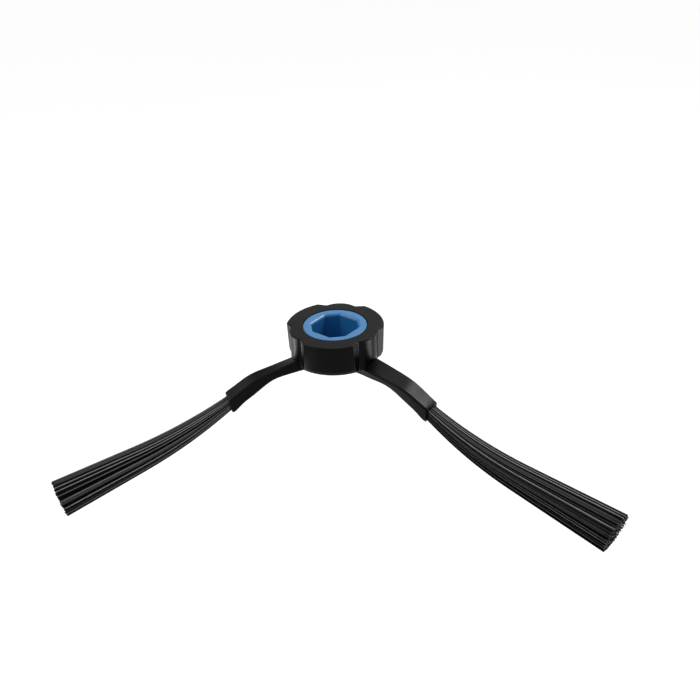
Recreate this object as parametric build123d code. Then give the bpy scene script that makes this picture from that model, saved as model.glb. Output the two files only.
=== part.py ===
"""Robot vacuum side brush.

A black moulded hub carries two drooping arms, set a third of a turn apart. A blue drive socket is
pressed into the hub from above, and a fanned tuft of nylon bristles is seated in the end of each arm.

Millimetres. +Z is up along the drive axis and the socket opens upwards. The origin is on that axis,
in the plane of the hub's top face. An arm is modelled along +X and then turned into its place.
"""
import os
from math import cos, radians, sin, tan

from build123d import *

# Hub
HUB_RADIUS = 12.3
HUB_HEIGHT = 8.2
HUB_DRAFT_ANGLE = 2.5
HUB_FOOT_BREAK = 1.2
HUB_EDGE_BREAK = 0.2
LOBE_COUNT = 3
FIRST_LOBE_ANGLE = 90.0
LOBE_RADIUS = 11.7
DIP_RADIUS = 10.9
DIP_ANGLE = 20.0
DIP_ROUND = 0.8
SHOULDER_ANGLE = 30.0
BOSS_TOP_RADIUS = 9.2
BOSS_BOTTOM_RADIUS = 6.9
BOSS_DEPTH = 2.4
BOSS_EDGE_BREAK = 0.6

# Drive socket
SOCKET_ACROSS_WALLS = 10.6
SOCKET_ACROSS_CORNERS = 11.4
SOCKET_DEPTH = 7.8
SOCKET_TURN_ANGLE = 15.0
SOCKET_CORNER_ROUND = 0.35
SOCKET_MOUTH_ROUND = 0.8
INSERT_WALL = 1.3
INSERT_FLOOR = 0.8
RIM_RADIUS = 8.1
RIM_THICKNESS = 1.4
RIM_RECESS = 0.1
RIM_EDGE_BREAK = 0.2
INSERT_CLEARANCE = 0.03

# Arms
ARM_ANGLES = {"left": 210.0, "right": 330.0}
ARM_START_REACH = 6.5
ARM_ROOT_REACH = 12.0
ARM_REACH = 29.0
ARM_ROOT_WIDTH = 5.0
ARM_MOUTH_WIDTH = 4.6
ARM_ROOT_TWIST_ANGLE = 15.5
ARM_MOUTH_TILT_ANGLE = 6.0
ARM_EDGE_BREAK = 0.35
ARM_STATIONS = 9
ARM_TOP_HEIGHT = -7.45
ARM_TOP_SLOPE_ANGLE = 11.6
ARM_TOP_BEND_REACH = 22.6
ARM_BASE_HEIGHT = -10.2
ARM_BASE_SLOPE_ANGLE = 3.0
ARM_BASE_BEND_REACH = 17.8
ARM_BEND_LENGTH = 5.0
FERRULE_SLOPE_ANGLE = 30.3

# Ferrule pockets
POCKET_WIDTH = 3.6
POCKET_HEIGHT = 2.0
POCKET_DEPTH = 6.0
POCKET_DROP = 0.15
POCKET_CLEARANCE = 0.03
ROOT_RECESS = 0.8

# Bristle tufts
BRISTLE_DIAMETER = 0.32
BRISTLE_SIDES = 6
BRISTLE_COLUMNS = 9
BRISTLE_ROWS = 5
BRISTLE_ROOM = 0.15
TUFT_BEND_LENGTH = 12.0
TUFT_BEND_RUNS = 3
TUFT_BEND_SHARE = 0.3
TUFT_REACH = 77.8
TUFT_DROP = 30.6
TUFT_SWEEP = 2.1
TUFT_END_WIDTH = 11.1
TUFT_END_HEIGHT = 9.2
TUFT_TRIM_LENGTHS = {"left": 4.8, "right": 0.0}
TUFT_SLANT_LENGTHS = {"left": 0.0, "right": 1.0}
TUFT_RAGGED_LENGTH = 1.2
RAGGED_LEVELS = 5
RAGGED_COLUMN_STEP = 3
RAGGED_ROW_STEP = 2

HUB_BOTTOM = -HUB_HEIGHT
BOSS_BOTTOM = HUB_BOTTOM - BOSS_DEPTH
RIM_TOP = -RIM_RECESS
RIM_SEAT = RIM_TOP - RIM_THICKNESS
SOCKET_BOTTOM = RIM_TOP - SOCKET_DEPTH
INSERT_BOTTOM = SOCKET_BOTTOM - INSERT_FLOOR
LOBE_TURNS = [FIRST_LOBE_ANGLE + index * 360.0 / LOBE_COUNT for index in range(LOBE_COUNT)]


def polar(radius, angle):
    """A point of the XY plane, from its radius and its angle in degrees."""
    return (radius * cos(radians(angle)), radius * sin(radians(angle)))


def downward_prism(outline, top, bottom):
    """The outline, drawn in the XY plane, as a solid from one height down to another."""
    return extrude(Pos(0, 0, bottom) * outline, amount=top - bottom, dir=(0, 0, 1))


def hub_body():
    """The hub's turned form: a drafted disc with its foot broken in two steps, over a tapered boss."""
    wall_height = HUB_HEIGHT - HUB_FOOT_BREAK
    foot_radius = HUB_RADIUS - wall_height * tan(radians(HUB_DRAFT_ANGLE))
    step = HUB_FOOT_BREAK * (1 - cos(radians(45)))
    profile = make_face(
        Polyline(
            (0, 0, 0),
            (HUB_RADIUS, 0, 0),
            (foot_radius, 0, -wall_height),
            (foot_radius - step, 0, HUB_BOTTOM + step),
            (foot_radius - HUB_FOOT_BREAK, 0, HUB_BOTTOM),
            (BOSS_TOP_RADIUS, 0, HUB_BOTTOM),
            (BOSS_BOTTOM_RADIUS, 0, BOSS_BOTTOM),
            (0, 0, BOSS_BOTTOM),
            close=True,
        )
    )
    boss_edge = profile.vertices().sort_by_distance((BOSS_BOTTOM_RADIUS, 0, BOSS_BOTTOM))[0]
    profile = chamfer(boss_edge, BOSS_EDGE_BREAK)
    return revolve(profile, Axis.Z)


def lobe_window():
    """What is cut away round one narrow lobe that points along +X, seen from above."""
    dip_left = polar(DIP_RADIUS, DIP_ANGLE)
    dip_right = polar(DIP_RADIUS, -DIP_ANGLE)
    ramp_left = Vector(*polar(HUB_RADIUS, SHOULDER_ANGLE)) - Vector(*dip_left)
    outside = Vector(*dip_left) + ramp_left * 2
    clear_of_hub = 2 * HUB_RADIUS
    lobe = ThreePointArc(dip_right, (LOBE_RADIUS, 0), dip_left)
    rest = Polyline(
        dip_left,
        (outside.X, outside.Y),
        (clear_of_hub, outside.Y),
        (clear_of_hub, -outside.Y),
        (outside.X, -outside.Y),
        dip_right,
    )
    window = make_face([lobe, rest])
    dips = window.vertices().sort_by_distance((0, 0, 0))[:2]
    return fillet(dips, DIP_ROUND)


def bent_height(reach, root_height, root_slope, bend_reach):
    """Height of an arm's top or base line: a straight run that bends down to the ferrule's slope."""
    past_bend_start = reach - (bend_reach - ARM_BEND_LENGTH / 2)
    if past_bend_start <= 0:
        bent_run = 0
    elif past_bend_start < ARM_BEND_LENGTH:
        bent_run = past_bend_start**2 / (2 * ARM_BEND_LENGTH)
    else:
        bent_run = past_bend_start - ARM_BEND_LENGTH / 2
    added_slope = tan(radians(FERRULE_SLOPE_ANGLE)) - tan(radians(root_slope))
    return root_height - (reach - ARM_ROOT_REACH) * tan(radians(root_slope)) - bent_run * added_slope


def arm_heights(reach):
    """Top and base of an arm at a distance from the drive axis."""
    top = bent_height(reach, ARM_TOP_HEIGHT, ARM_TOP_SLOPE_ANGLE, ARM_TOP_BEND_REACH)
    base = bent_height(reach, ARM_BASE_HEIGHT, ARM_BASE_SLOPE_ANGLE, ARM_BASE_BEND_REACH)
    return top, base


def arm_section(reach):
    """Cross-section of an arm, twisted and upright at the hub, level and tilted at the mouth."""
    outward = max(0.0, (reach - ARM_ROOT_REACH) / (ARM_REACH - ARM_ROOT_REACH))
    width = ARM_ROOT_WIDTH + (ARM_MOUTH_WIDTH - ARM_ROOT_WIDTH) * outward
    twist = radians(ARM_ROOT_TWIST_ANGLE * (1 - outward))
    tilt = radians(ARM_MOUTH_TILT_ANGLE * outward)
    top, base = arm_heights(reach)
    plane = Plane(
        origin=(reach, 0, (top + base) / 2),
        x_dir=(0, cos(twist), sin(twist)),
        z_dir=(cos(tilt), 0, -sin(tilt)),
    )
    section = Rectangle(width, top - base)
    return plane * chamfer(section.vertices(), ARM_EDGE_BREAK)


def mouth_plane():
    """Plane across a pocket's axis at its mouth: X across the arm, Y up, Z along the bristles."""
    top, base = arm_heights(ARM_REACH)
    slope = radians(FERRULE_SLOPE_ANGLE)
    return Plane(
        origin=(ARM_REACH, 0, (top + base) / 2 - POCKET_DROP),
        x_dir=(0, 1, 0),
        z_dir=(cos(slope), 0, -sin(slope)),
    )


def ferrule_block(width, height, inner, outer):
    """A rectangular block on a ferrule's axis, between two distances from its mouth."""
    face = mouth_plane().offset(inner) * Rectangle(width, height)
    return extrude(face, amount=outer - inner)


def arm():
    """One arm with the pocket for its bristles."""
    step = (ARM_REACH - ARM_START_REACH) / (ARM_STATIONS - 1)
    sections = [arm_section(ARM_START_REACH + index * step) for index in range(ARM_STATIONS)]
    pocket = ferrule_block(POCKET_WIDTH, POCKET_HEIGHT, -POCKET_DEPTH, POCKET_DEPTH)
    return loft(sections) - pocket


def socket_outline(margin=0.0):
    """The socket's eight-sided outline: a square with its corners cut, enlarged by a margin."""
    square = Rectangle(SOCKET_ACROSS_WALLS + 2 * margin, SOCKET_ACROSS_WALLS + 2 * margin)
    corners = Rectangle(SOCKET_ACROSS_CORNERS + 2 * margin, SOCKET_ACROSS_CORNERS + 2 * margin)
    outline = (square & Rot(0, 0, 45) * corners).face()
    rounded = fillet(outline.vertices(), SOCKET_CORNER_ROUND + margin)
    return Rot(0, 0, 45 + SOCKET_TURN_ANGLE) * rounded


def socket_insert():
    """The flanged cup that takes the drive shaft."""
    rim = downward_prism(Circle(RIM_RADIUS), RIM_TOP, RIM_SEAT)
    cup = downward_prism(socket_outline(INSERT_WALL), RIM_SEAT, INSERT_BOTTOM)
    insert = rim + cup - downward_prism(socket_outline(), RIM_TOP, SOCKET_BOTTOM)
    top_face = insert.faces().filter_by(Axis.Z).sort_by(Axis.Z)[-1]
    insert = fillet(top_face.inner_wires()[0].edges(), SOCKET_MOUTH_ROUND)
    top_face = insert.faces().filter_by(Axis.Z).sort_by(Axis.Z)[-1]
    return chamfer(top_face.outer_wire().edges(), RIM_EDGE_BREAK)


def hub_and_arms():
    """The black moulding: the lobed hub, its two arms and the seat for the socket."""
    hub = hub_body()
    window = downward_prism(lobe_window(), 0, HUB_BOTTOM)
    for turn in LOBE_TURNS:
        hub -= Rot(0, 0, turn) * window
    top_face = hub.faces().filter_by(Axis.Z).sort_by(Axis.Z)[-1]
    hub = chamfer(top_face.outer_wire().edges(), HUB_EDGE_BREAK)
    one_arm = arm()
    for angle in ARM_ANGLES.values():
        hub += Rot(0, 0, angle) * one_arm
    hub -= downward_prism(Circle(RIM_RADIUS + INSERT_CLEARANCE), 0, RIM_SEAT)
    return hub - downward_prism(socket_outline(INSERT_WALL + INSERT_CLEARANCE), RIM_SEAT, INSERT_BOTTOM)


def spread(across, up):
    """Moves a point of the square from -1 to 1 into the unit circle, without crossings."""
    return across * (1 - up**2 / 2) ** 0.5, up * (1 - across**2 / 2) ** 0.5


def tip_plane():
    """Plane across the tuft's straight outer run at its end, with the same directions as at the mouth."""
    end = Vector(TUFT_REACH, TUFT_SWEEP, -TUFT_DROP)
    bend = mouth_plane().from_local_coords(Vector(0, 0, TUFT_BEND_LENGTH))
    return Plane(origin=end, x_dir=(0, 1, 0), z_dir=end - bend)


def ragged_end(column, row):
    """How far one filament stands past the tuft's end, or short of it."""
    level = (RAGGED_COLUMN_STEP * column + RAGGED_ROW_STEP * row) % RAGGED_LEVELS
    return TUFT_RAGGED_LENGTH * (level / (RAGGED_LEVELS - 1) - 0.5)


def bristle(column, row, trim_length, slant_length):
    """One filament, from the root block round its bend to its tip. Odd rows are staggered."""
    across = (2 * column + row % 2) / (BRISTLE_COLUMNS - 1) - 1
    up = 2 * row / (BRISTLE_ROWS - 1) - 1
    in_root = Vector(
        across * (POCKET_WIDTH - BRISTLE_DIAMETER - 2 * BRISTLE_ROOM) / 2,
        up * (POCKET_HEIGHT - BRISTLE_DIAMETER - 2 * BRISTLE_ROOM) / 2,
    )
    round_across, round_up = spread(across, up)
    in_tip = Vector(
        round_across * (TUFT_END_WIDTH - BRISTLE_DIAMETER) / 2,
        round_up * (TUFT_END_HEIGHT - BRISTLE_DIAMETER) / 2,
    )
    in_bend = in_root + (in_tip - in_root) * TUFT_BEND_SHARE
    mouth = mouth_plane()
    root = mouth.from_local_coords(in_root - Vector(0, 0, ROOT_RECESS + BRISTLE_DIAMETER))
    bend = mouth.from_local_coords(in_bend + Vector(0, 0, TUFT_BEND_LENGTH))
    end = tip_plane().from_local_coords(in_tip + Vector(0, 0, ragged_end(column, row)))
    shortened = trim_length + slant_length * (1 - round_across) / 2
    tip = end + (bend - end).normalized() * shortened
    bend_end = bend + (tip - bend).normalized() * (bend - root).length
    corners = []
    for index in range(TUFT_BEND_RUNS + 1):
        share = index / TUFT_BEND_RUNS
        corners.append(root * (1 - share) ** 2 + bend * 2 * share * (1 - share) + bend_end * share**2)
    path = Polyline(*corners, tip)
    start = Plane(origin=root, z_dir=corners[1] - root)
    section = start * RegularPolygon(BRISTLE_DIAMETER / 2, BRISTLE_SIDES)
    return sweep(section, path=path, transition=Transition.RIGHT)


def tuft(trim_length, slant_length):
    """The bristles of one arm, with their ends fused into a block that fits the pocket."""
    block = ferrule_block(
        POCKET_WIDTH - 2 * POCKET_CLEARANCE,
        POCKET_HEIGHT - 2 * POCKET_CLEARANCE,
        -POCKET_DEPTH,
        -ROOT_RECESS,
    )
    bristles = []
    for row in range(BRISTLE_ROWS):
        for column in range(BRISTLE_COLUMNS - row % 2):
            bristles.append(bristle(column, row, trim_length, slant_length))
    return block.fuse(*bristles)


def main():
    os.makedirs("parts", exist_ok=True)
    export_step(hub_and_arms(), "parts/hub_and_arms.step")
    export_step(socket_insert(), "parts/socket_insert.step")
    for side, angle in ARM_ANGLES.items():
        one_tuft = tuft(TUFT_TRIM_LENGTHS[side], TUFT_SLANT_LENGTHS[side])
        export_step(Rot(0, 0, angle) * one_tuft, f"parts/{side}_tuft.step")


main()
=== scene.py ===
"""Dressed scene of a robot vacuum side brush, in metres, in the frame of its solids.

The black moulding and the blue socket keep their solids and get a finished plastic. Each bristle tuft is
replaced by fine round filaments, which are worked out in millimetres along +X and then turned into place.
"""
import math
import random

import bpy
from mathutils import Matrix, Vector


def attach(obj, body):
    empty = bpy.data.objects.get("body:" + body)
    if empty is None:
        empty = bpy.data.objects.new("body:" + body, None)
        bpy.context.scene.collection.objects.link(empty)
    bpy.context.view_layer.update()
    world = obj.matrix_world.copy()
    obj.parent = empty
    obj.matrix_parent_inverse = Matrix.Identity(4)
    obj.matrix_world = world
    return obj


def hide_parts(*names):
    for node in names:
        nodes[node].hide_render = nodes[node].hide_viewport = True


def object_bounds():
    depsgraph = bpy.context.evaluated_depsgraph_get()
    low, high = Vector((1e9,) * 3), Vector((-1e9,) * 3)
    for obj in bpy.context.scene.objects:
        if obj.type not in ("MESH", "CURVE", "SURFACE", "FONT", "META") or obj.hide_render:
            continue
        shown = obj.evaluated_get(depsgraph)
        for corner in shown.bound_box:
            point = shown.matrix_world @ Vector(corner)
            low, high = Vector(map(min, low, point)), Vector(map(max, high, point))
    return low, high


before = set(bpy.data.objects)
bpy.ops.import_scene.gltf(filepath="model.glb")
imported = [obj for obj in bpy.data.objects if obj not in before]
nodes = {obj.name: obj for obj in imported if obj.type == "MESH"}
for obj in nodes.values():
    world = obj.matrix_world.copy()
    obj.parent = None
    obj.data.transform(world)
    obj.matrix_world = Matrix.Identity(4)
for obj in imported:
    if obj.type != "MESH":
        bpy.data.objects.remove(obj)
cad_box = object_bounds()

MM = 0.001

# Corners of a square from -1 to 1, in order
SQUARE = ((-1, -1), (1, -1), (1, 1), (-1, 1))

# Arms and pockets, in millimetres and degrees, as in the solids
ARM_ANGLES = {"left": 210.0, "right": 330.0}
MOUTH_CENTRE = Vector((29.0, 0.0, -15.357))
FERRULE_SLOPE = math.radians(30.3)
POCKET_WIDTH = 3.6
POCKET_HEIGHT = 2.0
POCKET_DEPTH = 6.0
POCKET_CLEARANCE = 0.03
ROOT_RECESS = 0.8

# Tufts, in millimetres, as in the solids: the spread at the bend is a share of the whole fan
TUFT_BEND = 12.0
TUFT_BEND_SPREAD = 0.3
TUFT_END = Vector((77.8, 2.1, -30.6))
TUFT_END_WIDTH = 11.1
TUFT_END_HEIGHT = 9.2
TUFT_TRIMS = {"left": 4.8, "right": 0.0}
TUFT_SLANTS = {"left": 0.0, "right": 1.0}

# Filaments, in millimetres and counts: they start inside the root block
FILAMENT_START_DEPTH = 2.0
FILAMENT_DIAMETER = 0.3
FILAMENT_ROOM = 0.05
FILAMENT_RAGGED = 0.12
FILAMENT_SIDES = 8
FILAMENT_STEPS = 18
FILAMENT_COLUMNS = 19
FILAMENT_ROWS = 12

# Filament places, as shares of a column's spacing and of the tuft's half width, and the seed of the draws
FILAMENT_ROW_SHIFT = 0.618
FILAMENT_WANDER = 0.04
FILAMENT_SEED = 23

# Filament tones, from 0 to 1: slanting rows of filaments get a lighter tone, a painted highlight
TONE_AND_HIGHLIGHT_ATTRIBUTE = "filament_tone_and_highlight"
ROOT_TONE = 0.0
HIGHLIGHT_FILAMENT_STEP = 3
HIGHLIGHT_FILAMENT_ROW_STEP = 2
PAINTED_HIGHLIGHT_GAIN = 0.5

# Nylon: colours by tone, lighter ones are painted highlights; roughness of the darkest and the lightest
# filament
NYLON_AND_HIGHLIGHT_STOPS = (
    (0.2, (0.0015, 0.0015, 0.0017)),
    (0.5, (0.06, 0.06, 0.062)),
    (1.0, (0.26, 0.26, 0.267)),
)
NYLON_ROUGHNESS = (0.85, 0.7)
NYLON_SPECULAR = 0.04

# Plastics: two tones each, the range of the roughness, and the grain's depth in millimetres
BLACK_TONES = ((0.002, 0.002, 0.0021), (0.0034, 0.0034, 0.0036))
BLACK_ROUGHNESS = (0.26, 0.34)
BLACK_SPECULAR = 0.065
BLACK_GRAIN_DEPTH = 0.012
BLUE_TONES = ((0.018, 0.146, 0.345), (0.024, 0.16, 0.37))
BLUE_ROUGHNESS = (0.3, 0.38)
BLUE_SPECULAR = 0.45
BLUE_GRAIN_DEPTH = 0.003

# Patterns of the plastics, with their scales per metre
CLOUD_SCALE = 160
CLOUD_DETAIL = 3
CLOUD_STOPS = (0.35, 0.65)
SMEAR_SCALE = 420
SMEAR_DETAIL = 4
GRAIN_SCALE = 5200
GRAIN_DETAIL = 2
GRAIN_STRENGTH = 0.5

# Softened edges, in millimetres, and surfaces that face down, which are taken to be duller
EDGE_RADIUS = 0.3
EDGE_SAMPLES = 6
UNDERSIDE_NORMALS = (-0.6, -0.3)
UNDERSIDE_DULLNESS = 0.5

# Camera, in millimetres and pixels, from the fit to the photograph
FOCAL_LENGTH = 50.0
SENSOR_WIDTH = 36.0
IMAGE_SIZE = 700.0
FOCAL_PIXELS = IMAGE_SIZE * FOCAL_LENGTH / SENSOR_WIDTH
CAMERA_DISTANCE = 243.06
CAMERA_AZIMUTH = math.radians(9.29)
CAMERA_ELEVATION = math.radians(30.087)
CAMERA_ROLL = math.radians(-2.445)
CAMERA_CLIP = 10.0
ORIGIN_PIXEL = (334.84, 324.413)

# Studio, in metres and degrees: the flag's azimuths are counted from +Y towards -X
WORLD_LIGHT = 0.25
WORLD_SHOWN = 1.0
FLOOR_DROP = 0.17
FLOOR_SIZE = 4.0
FLOOR_SHADE = 0.3
FLOOR_GLOW = 0.9
FLAG_DISTANCE = 0.6
FLAG_AZIMUTHS = (20.0, 42.0)
FLAG_ELEVATIONS = (2.0, 28.0)
FLAG_SHADE = 0.15
FLAG_GLOW = 0.0

# Lamps: place and size in metres, power in watts
LAMPS = {
    "key": ((0.29, 0.3, 0.43), 0.16, 2.7),
    "overhead": ((-0.02, 0.26, 0.54), 0.3, 0.7),
    "fill": ((-0.4, -0.15, 0.4), 0.35, 1.4),
    "low_left": ((-0.25, 0.01, -0.15), 0.12, 0.42),
    "low_right": ((0.25, -0.02, -0.15), 0.12, 0.52),
}


def node_link(tree, source, output, target, socket):
    """Joins an output of one shader node to a socket of another."""
    tree.links.new(source.outputs[output], target.inputs[socket])


def noise(tree, coordinates, scale, detail):
    """Noise in object space, with its scale given per metre."""
    texture = tree.nodes.new("ShaderNodeTexNoise")
    texture.inputs["Scale"].default_value = scale
    texture.inputs["Detail"].default_value = detail
    node_link(tree, coordinates, "Object", texture, "Vector")
    return texture


def ramp(tree, source, output, stops):
    """A colour ramp driven by another node, with its stops as (position, colour)."""
    node = tree.nodes.new("ShaderNodeValToRGB")
    first, last = node.color_ramp.elements
    for element, (position, colour) in ((first, stops[0]), (last, stops[-1])):
        element.position = position
        element.color = (*colour, 1)
    for position, colour in stops[1:-1]:
        node.color_ramp.elements.new(position).color = (*colour, 1)
    node_link(tree, source, output, node, "Fac")
    return node


def value_range(tree, source, output, target_range, source_range=(0, 1)):
    """Maps a value from one range to another."""
    node = tree.nodes.new("ShaderNodeMapRange")
    sockets = ("From Min", "From Max", "To Min", "To Max")
    for socket, limit in zip(sockets, (*source_range, *target_range)):
        node.inputs[socket].default_value = limit
    node_link(tree, source, output, node, "Value")
    return node


def combine(tree, operation, sources):
    """Combines two values, each given as (node, output)."""
    node = tree.nodes.new("ShaderNodeMath")
    node.operation = operation
    for index, (source, output) in enumerate(sources):
        node_link(tree, source, output, node, index)
    return node


def add_clouds(tree, coordinates, shader, tones):
    """Colour of a plastic: two tones in soft clouds."""
    clouds = noise(tree, coordinates, CLOUD_SCALE, CLOUD_DETAIL)
    colour = ramp(tree, clouds, "Fac", list(zip(CLOUD_STOPS, tones)))
    node_link(tree, colour, "Color", shader, "Base Color")


def add_gloss(tree, coordinates, shader, roughness):
    """Uneven gloss of a plastic, which is duller where its surface faces down."""
    smears = noise(tree, coordinates, SMEAR_SCALE, SMEAR_DETAIL)
    gloss = value_range(tree, smears, "Fac", roughness)
    facing = tree.nodes.new("ShaderNodeSeparateXYZ")
    node_link(tree, coordinates, "Normal", facing, "Vector")
    dullness = value_range(tree, facing, "Z", (UNDERSIDE_DULLNESS, 0), UNDERSIDE_NORMALS)
    total = combine(tree, "ADD", [(gloss, "Result"), (dullness, "Result")])
    node_link(tree, total, "Value", shader, "Roughness")


def add_grain(tree, coordinates, shader, depth):
    """Surface of a plastic: a fine grain and softened edges."""
    grain = noise(tree, coordinates, GRAIN_SCALE, GRAIN_DETAIL)
    bump = tree.nodes.new("ShaderNodeBump")
    bump.inputs["Strength"].default_value = GRAIN_STRENGTH
    bump.inputs["Distance"].default_value = depth * MM
    node_link(tree, grain, "Fac", bump, "Height")
    edges = tree.nodes.new("ShaderNodeBevel")
    edges.samples = EDGE_SAMPLES
    edges.inputs["Radius"].default_value = EDGE_RADIUS * MM
    node_link(tree, edges, "Normal", bump, "Normal")
    node_link(tree, bump, "Normal", shader, "Normal")


def moulded_plastic(name, tones, roughness, specular, grain_depth):
    """A moulded plastic, with its colour, gloss and grain."""
    material = bpy.data.materials.new(name)
    material.use_nodes = True
    tree = material.node_tree
    shader = tree.nodes["Principled BSDF"]
    coordinates = tree.nodes.new("ShaderNodeTexCoord")
    add_clouds(tree, coordinates, shader, tones)
    add_gloss(tree, coordinates, shader, roughness)
    add_grain(tree, coordinates, shader, grain_depth)
    shader.inputs["Specular IOR Level"].default_value = specular
    return material


def nylon():
    """Nylon filament: each one has its own tone, lighter where a highlight is painted on, and its own
    gloss.
    """
    material = bpy.data.materials.new("black_nylon")
    material.use_nodes = True
    tree = material.node_tree
    shader = tree.nodes["Principled BSDF"]
    tone = tree.nodes.new("ShaderNodeAttribute")
    tone.attribute_name = TONE_AND_HIGHLIGHT_ATTRIBUTE
    colour = ramp(tree, tone, "Fac", NYLON_AND_HIGHLIGHT_STOPS)
    node_link(tree, colour, "Color", shader, "Base Color")
    gloss = value_range(tree, tone, "Fac", NYLON_ROUGHNESS)
    node_link(tree, gloss, "Result", shader, "Roughness")
    shader.inputs["Specular IOR Level"].default_value = NYLON_SPECULAR
    return material


def dress(node, material):
    """Gives a solid its finished material."""
    node.data.materials.clear()
    node.data.materials.append(material)


def unit_circle(across, up):
    """Moves a point of the square from -1 to 1 into the unit circle, without crossings."""
    return Vector((across * math.sqrt(1 - up**2 / 2), up * math.sqrt(1 - across**2 / 2)))


def clamped(value):
    """The value, kept from -1 to 1."""
    return max(-1, min(1, value))


def local_frame(origin, outward):
    """Matrix of a plane across the tuft: X across the arm, Z outward."""
    z_axis = outward.normalized()
    x_axis = Vector((0, 1, 0))
    x_axis = (x_axis - z_axis * x_axis.dot(z_axis)).normalized()
    y_axis = z_axis.cross(x_axis)
    rotation = Matrix((x_axis, y_axis, z_axis)).transposed()
    return Matrix.Translation(origin) @ rotation.to_4x4()


MOUTH_FRAME = local_frame(MOUTH_CENTRE, Vector((math.cos(FERRULE_SLOPE), 0, -math.sin(FERRULE_SLOPE))))
TIP_FRAME = local_frame(TUFT_END, TUFT_END - MOUTH_FRAME @ Vector((0, 0, TUFT_BEND)))


def filament_points(root_place, tip_place, ragged, side):
    """Points along one filament: out of the pocket, round its bend and straight to its tip."""
    root_flat = Vector(root_place)
    root_flat.x *= (POCKET_WIDTH - FILAMENT_DIAMETER - 2 * FILAMENT_ROOM) / 2
    root_flat.y *= (POCKET_HEIGHT - FILAMENT_DIAMETER - 2 * FILAMENT_ROOM) / 2
    tip_flat = unit_circle(*tip_place)
    trim = TUFT_TRIMS[side] + TUFT_SLANTS[side] * (1 - tip_flat.x) / 2
    tip_flat.x *= (TUFT_END_WIDTH - FILAMENT_DIAMETER) / 2
    tip_flat.y *= (TUFT_END_HEIGHT - FILAMENT_DIAMETER) / 2
    bend_flat = root_flat.lerp(tip_flat, TUFT_BEND_SPREAD)
    root = MOUTH_FRAME @ Vector((*root_flat, -FILAMENT_START_DEPTH))
    bend = MOUTH_FRAME @ Vector((*bend_flat, TUFT_BEND))
    end = TIP_FRAME @ Vector((*tip_flat, ragged))
    tip = end + (bend - end).normalized() * trim
    bend_end = bend + (tip - bend).normalized() * (bend - root).length
    bend_steps = FILAMENT_STEPS // 2
    straight_steps = FILAMENT_STEPS - bend_steps
    points = []
    for step in range(bend_steps):
        share = step / bend_steps
        points.append(root.lerp(bend, share).lerp(bend.lerp(bend_end, share), share))
    for step in range(straight_steps + 1):
        points.append(bend_end.lerp(tip, step / straight_steps))
    return points


def add_tube(vertices, faces, points, radius):
    """Adds a round tube with closed ends along the points."""
    start = len(vertices)
    sideways = Vector((0, 1, 0))
    for index, point in enumerate(points):
        before = points[max(index - 1, 0)]
        after = points[min(index + 1, len(points) - 1)]
        along = (after - before).normalized()
        first = (sideways - along * sideways.dot(along)).normalized()
        second = along.cross(first)
        for corner in range(FILAMENT_SIDES):
            turn = 2 * math.pi * corner / FILAMENT_SIDES
            vertices.append(point + (first * math.cos(turn) + second * math.sin(turn)) * radius)
    for ring in range(len(points) - 1):
        low = start + ring * FILAMENT_SIDES
        high = low + FILAMENT_SIDES
        for corner in range(FILAMENT_SIDES):
            beside = (corner + 1) % FILAMENT_SIDES
            faces.append((low + corner, low + beside, high + beside, high + corner))
    last = start + (len(points) - 1) * FILAMENT_SIDES
    faces.append(tuple(reversed(range(start, start + FILAMENT_SIDES))))
    faces.append(tuple(range(last, last + FILAMENT_SIDES)))


def add_root_block(vertices, faces):
    """Adds the block in the pocket that the filaments' ends are fused into."""
    start = len(vertices)
    half_width = POCKET_WIDTH / 2 - POCKET_CLEARANCE
    half_height = POCKET_HEIGHT / 2 - POCKET_CLEARANCE
    for depth in (POCKET_DEPTH, ROOT_RECESS):
        for across, up in SQUARE:
            vertices.append(MOUTH_FRAME @ Vector((across * half_width, up * half_height, -depth)))
    inner = [start + corner for corner in range(len(SQUARE))]
    outer = [start + len(SQUARE) + corner for corner in range(len(SQUARE))]
    for corner in range(len(SQUARE)):
        beside = (corner + 1) % len(SQUARE)
        faces.append((inner[corner], inner[beside], outer[beside], outer[corner]))
    faces.append(tuple(reversed(inner)))
    faces.append(tuple(outer))


def tuft_shape(side):
    """Vertices, faces, smooth faces and vertex tones, with painted highlights, of one tuft."""
    draw = random.Random(FILAMENT_SEED)
    vertices = []
    faces = []
    tones = []
    for row in range(FILAMENT_ROWS):
        up = 2 * row / (FILAMENT_ROWS - 1) - 1
        shift = row * FILAMENT_ROW_SHIFT % 1
        for column in range(FILAMENT_COLUMNS):
            across = 2 * (column + shift) / FILAMENT_COLUMNS - 1
            tip_across = clamped(across + draw.uniform(-FILAMENT_WANDER, FILAMENT_WANDER))
            tip_up = clamped(up + draw.uniform(-FILAMENT_WANDER, FILAMENT_WANDER))
            ragged = draw.uniform(-FILAMENT_RAGGED, FILAMENT_RAGGED)
            points = filament_points((across, up), (tip_across, tip_up), ragged, side)
            add_tube(vertices, faces, points, FILAMENT_DIAMETER / 2)
            # A random tone, and in slanting rows a painted highlight: a lighter tone that stands in for
            # gloss
            painted_highlight = (column + HIGHLIGHT_FILAMENT_ROW_STEP * row) % HIGHLIGHT_FILAMENT_STEP == 0
            tone = draw.random() * (1 - PAINTED_HIGHLIGHT_GAIN) + painted_highlight * PAINTED_HIGHLIGHT_GAIN
            tones += [tone] * (len(vertices) - len(tones))
    # A tube's walls are smooth, and its ends, which have more corners, are flat
    smooth = [len(face) < FILAMENT_SIDES for face in faces]
    add_root_block(vertices, faces)
    smooth += [False] * (len(faces) - len(smooth))
    tones += [ROOT_TONE] * (len(vertices) - len(tones))
    return vertices, faces, smooth, tones


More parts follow.
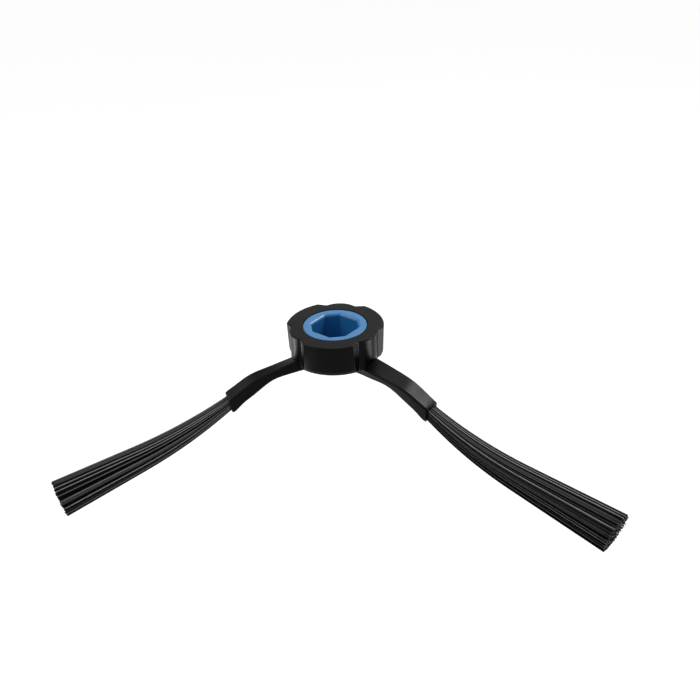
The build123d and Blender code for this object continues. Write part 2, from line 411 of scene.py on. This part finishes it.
def make_tuft(side, material):
    """One tuft of fine round filaments, in place of the solids' coarser one."""
    name = f"{side}_filaments"
    vertices, faces, smooth, tones = tuft_shape(side)
    mesh = bpy.data.meshes.new(name)
    turn = Matrix.Rotation(math.radians(ARM_ANGLES[side]), 4, "Z") @ Matrix.Scale(MM, 4)
    mesh.from_pydata([turn @ vertex for vertex in vertices], [], faces)
    mesh.attributes.new(TONE_AND_HIGHLIGHT_ATTRIBUTE, "FLOAT", "POINT").data.foreach_set("value", tones)
    mesh.polygons.foreach_set("use_smooth", smooth)
    mesh.materials.append(material)
    piece = bpy.data.objects.new(name, mesh)
    bpy.context.scene.collection.objects.link(piece)
    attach(piece, "root")
    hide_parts(f"{side}_tuft")


def white_to_eye(tree):
    """A value that is 1 for rays that show the background: seen directly, in a gloss or through glass."""
    path = tree.nodes.new("ShaderNodeLightPath")
    seen = combine(tree, "MAXIMUM", [(path, "Is Camera Ray"), (path, "Is Glossy Ray")])
    return combine(tree, "MAXIMUM", [(seen, "Value"), (path, "Is Transmission Ray")])


def add_world():
    """A soft even light from all round, which shows white."""
    world = bpy.data.worlds.new("studio")
    bpy.context.scene.world = world
    world.use_nodes = True
    tree = world.node_tree
    background = tree.nodes["Background"]
    background.inputs["Color"].default_value = (1, 1, 1, 1)
    strength = value_range(tree, white_to_eye(tree), "Value", (WORLD_LIGHT, WORLD_SHOWN))
    node_link(tree, strength, "Result", background, "Strength")


def add_panel(name, corners, shade, glow):
    """A flat matt panel of the studio, which takes shadows, with an added glow to the eye."""
    mesh = bpy.data.meshes.new(name)
    mesh.from_pydata(corners, [], [range(len(corners))])
    material = bpy.data.materials.new(name)
    material.use_nodes = True
    tree = material.node_tree
    tree.nodes.clear()
    matt = tree.nodes.new("ShaderNodeBsdfDiffuse")
    matt.inputs["Color"].default_value = (shade, shade, shade, 1)
    light = tree.nodes.new("ShaderNodeEmission")
    strength = value_range(tree, white_to_eye(tree), "Value", (0, glow))
    node_link(tree, strength, "Result", light, "Strength")
    both = tree.nodes.new("ShaderNodeAddShader")
    node_link(tree, matt, "BSDF", both, 0)
    node_link(tree, light, "Emission", both, 1)
    output = tree.nodes.new("ShaderNodeOutputMaterial")
    node_link(tree, both, "Shader", output, "Surface")
    mesh.materials.append(material)
    panel = bpy.data.objects.new(name, mesh)
    bpy.context.scene.collection.objects.link(panel)
    return panel


def add_floor():
    """A plain floor well below the brush, which shows white."""
    height = cad_box[0][2] - FLOOR_DROP
    corners = [(x * FLOOR_SIZE, y * FLOOR_SIZE, height) for x, y in SQUARE]
    add_panel("floor", corners, FLOOR_SHADE, FLOOR_GLOW)


def add_flag():
    """A dark card behind the left arm, out of sight, that keeps the white from the gloss of its top."""
    near, far = [math.radians(azimuth) for azimuth in FLAG_AZIMUTHS]
    low, high = [FLAG_DISTANCE * math.tan(math.radians(elevation)) for elevation in FLAG_ELEVATIONS]
    corners = []
    for azimuth, height in ((near, low), (far, low), (far, high), (near, high)):
        corners.append((-FLAG_DISTANCE * math.sin(azimuth), FLAG_DISTANCE * math.cos(azimuth), height))
    flag = add_panel("flag", corners, FLAG_SHADE, FLAG_GLOW)
    flag.visible_camera = False


def add_lamp(name, position, size, power):
    """A square soft box that points at the origin."""
    data = bpy.data.lights.new(name, "AREA")
    data.shape = "SQUARE"
    data.size = size
    data.energy = power
    lamp = bpy.data.objects.new(name, data)
    lamp.location = position
    lamp.rotation_euler = (-Vector(position)).to_track_quat("-Z", "Y").to_euler()
    bpy.context.scene.collection.objects.link(lamp)


def add_camera():
    """The camera of the fit: its place from the pixel of the origin, its roll from the picture."""
    turned = Matrix.Rotation(CAMERA_AZIMUTH, 3, "Z")
    right = turned @ Vector((1, 0, 0))
    down = turned @ Vector((0, -math.sin(CAMERA_ELEVATION), -math.cos(CAMERA_ELEVATION)))
    forward = turned @ Vector((0, math.cos(CAMERA_ELEVATION), -math.sin(CAMERA_ELEVATION)))
    across = ORIGIN_PIXEL[0] - IMAGE_SIZE / 2
    below = ORIGIN_PIXEL[1] - IMAGE_SIZE / 2
    cosine = math.cos(CAMERA_ROLL)
    sine = math.sin(CAMERA_ROLL)
    origin_right = (across * cosine + below * sine) * CAMERA_DISTANCE / FOCAL_PIXELS
    origin_down = (-across * sine + below * cosine) * CAMERA_DISTANCE / FOCAL_PIXELS
    place = -origin_right * right - origin_down * down - CAMERA_DISTANCE * forward
    image_right = cosine * right - sine * down
    image_down = sine * right + cosine * down
    data = bpy.data.cameras.new("camera")
    data.lens = FOCAL_LENGTH
    data.sensor_width = SENSOR_WIDTH
    data.clip_start = CAMERA_CLIP * MM
    camera = bpy.data.objects.new("camera", data)
    rotation = Matrix((image_right, -image_down, -forward)).transposed()
    camera.matrix_world = Matrix.Translation(place * MM) @ rotation.to_4x4()
    bpy.context.scene.collection.objects.link(camera)
    bpy.context.scene.camera = camera


black_plastic = moulded_plastic(
    "black_plastic", BLACK_TONES, BLACK_ROUGHNESS, BLACK_SPECULAR, BLACK_GRAIN_DEPTH
)
blue_plastic = moulded_plastic("blue_plastic", BLUE_TONES, BLUE_ROUGHNESS, BLUE_SPECULAR, BLUE_GRAIN_DEPTH)
dress(nodes["hub_and_arms"], black_plastic)
dress(nodes["socket_insert"], blue_plastic)
bristle_nylon = nylon()
for side in ARM_ANGLES:
    make_tuft(side, bristle_nylon)

add_camera()
add_world()
add_floor()
add_flag()
for name, (position, size, power) in LAMPS.items():
    add_lamp(name, position, size, power)
bpy.context.scene.view_settings.view_transform = "Standard"
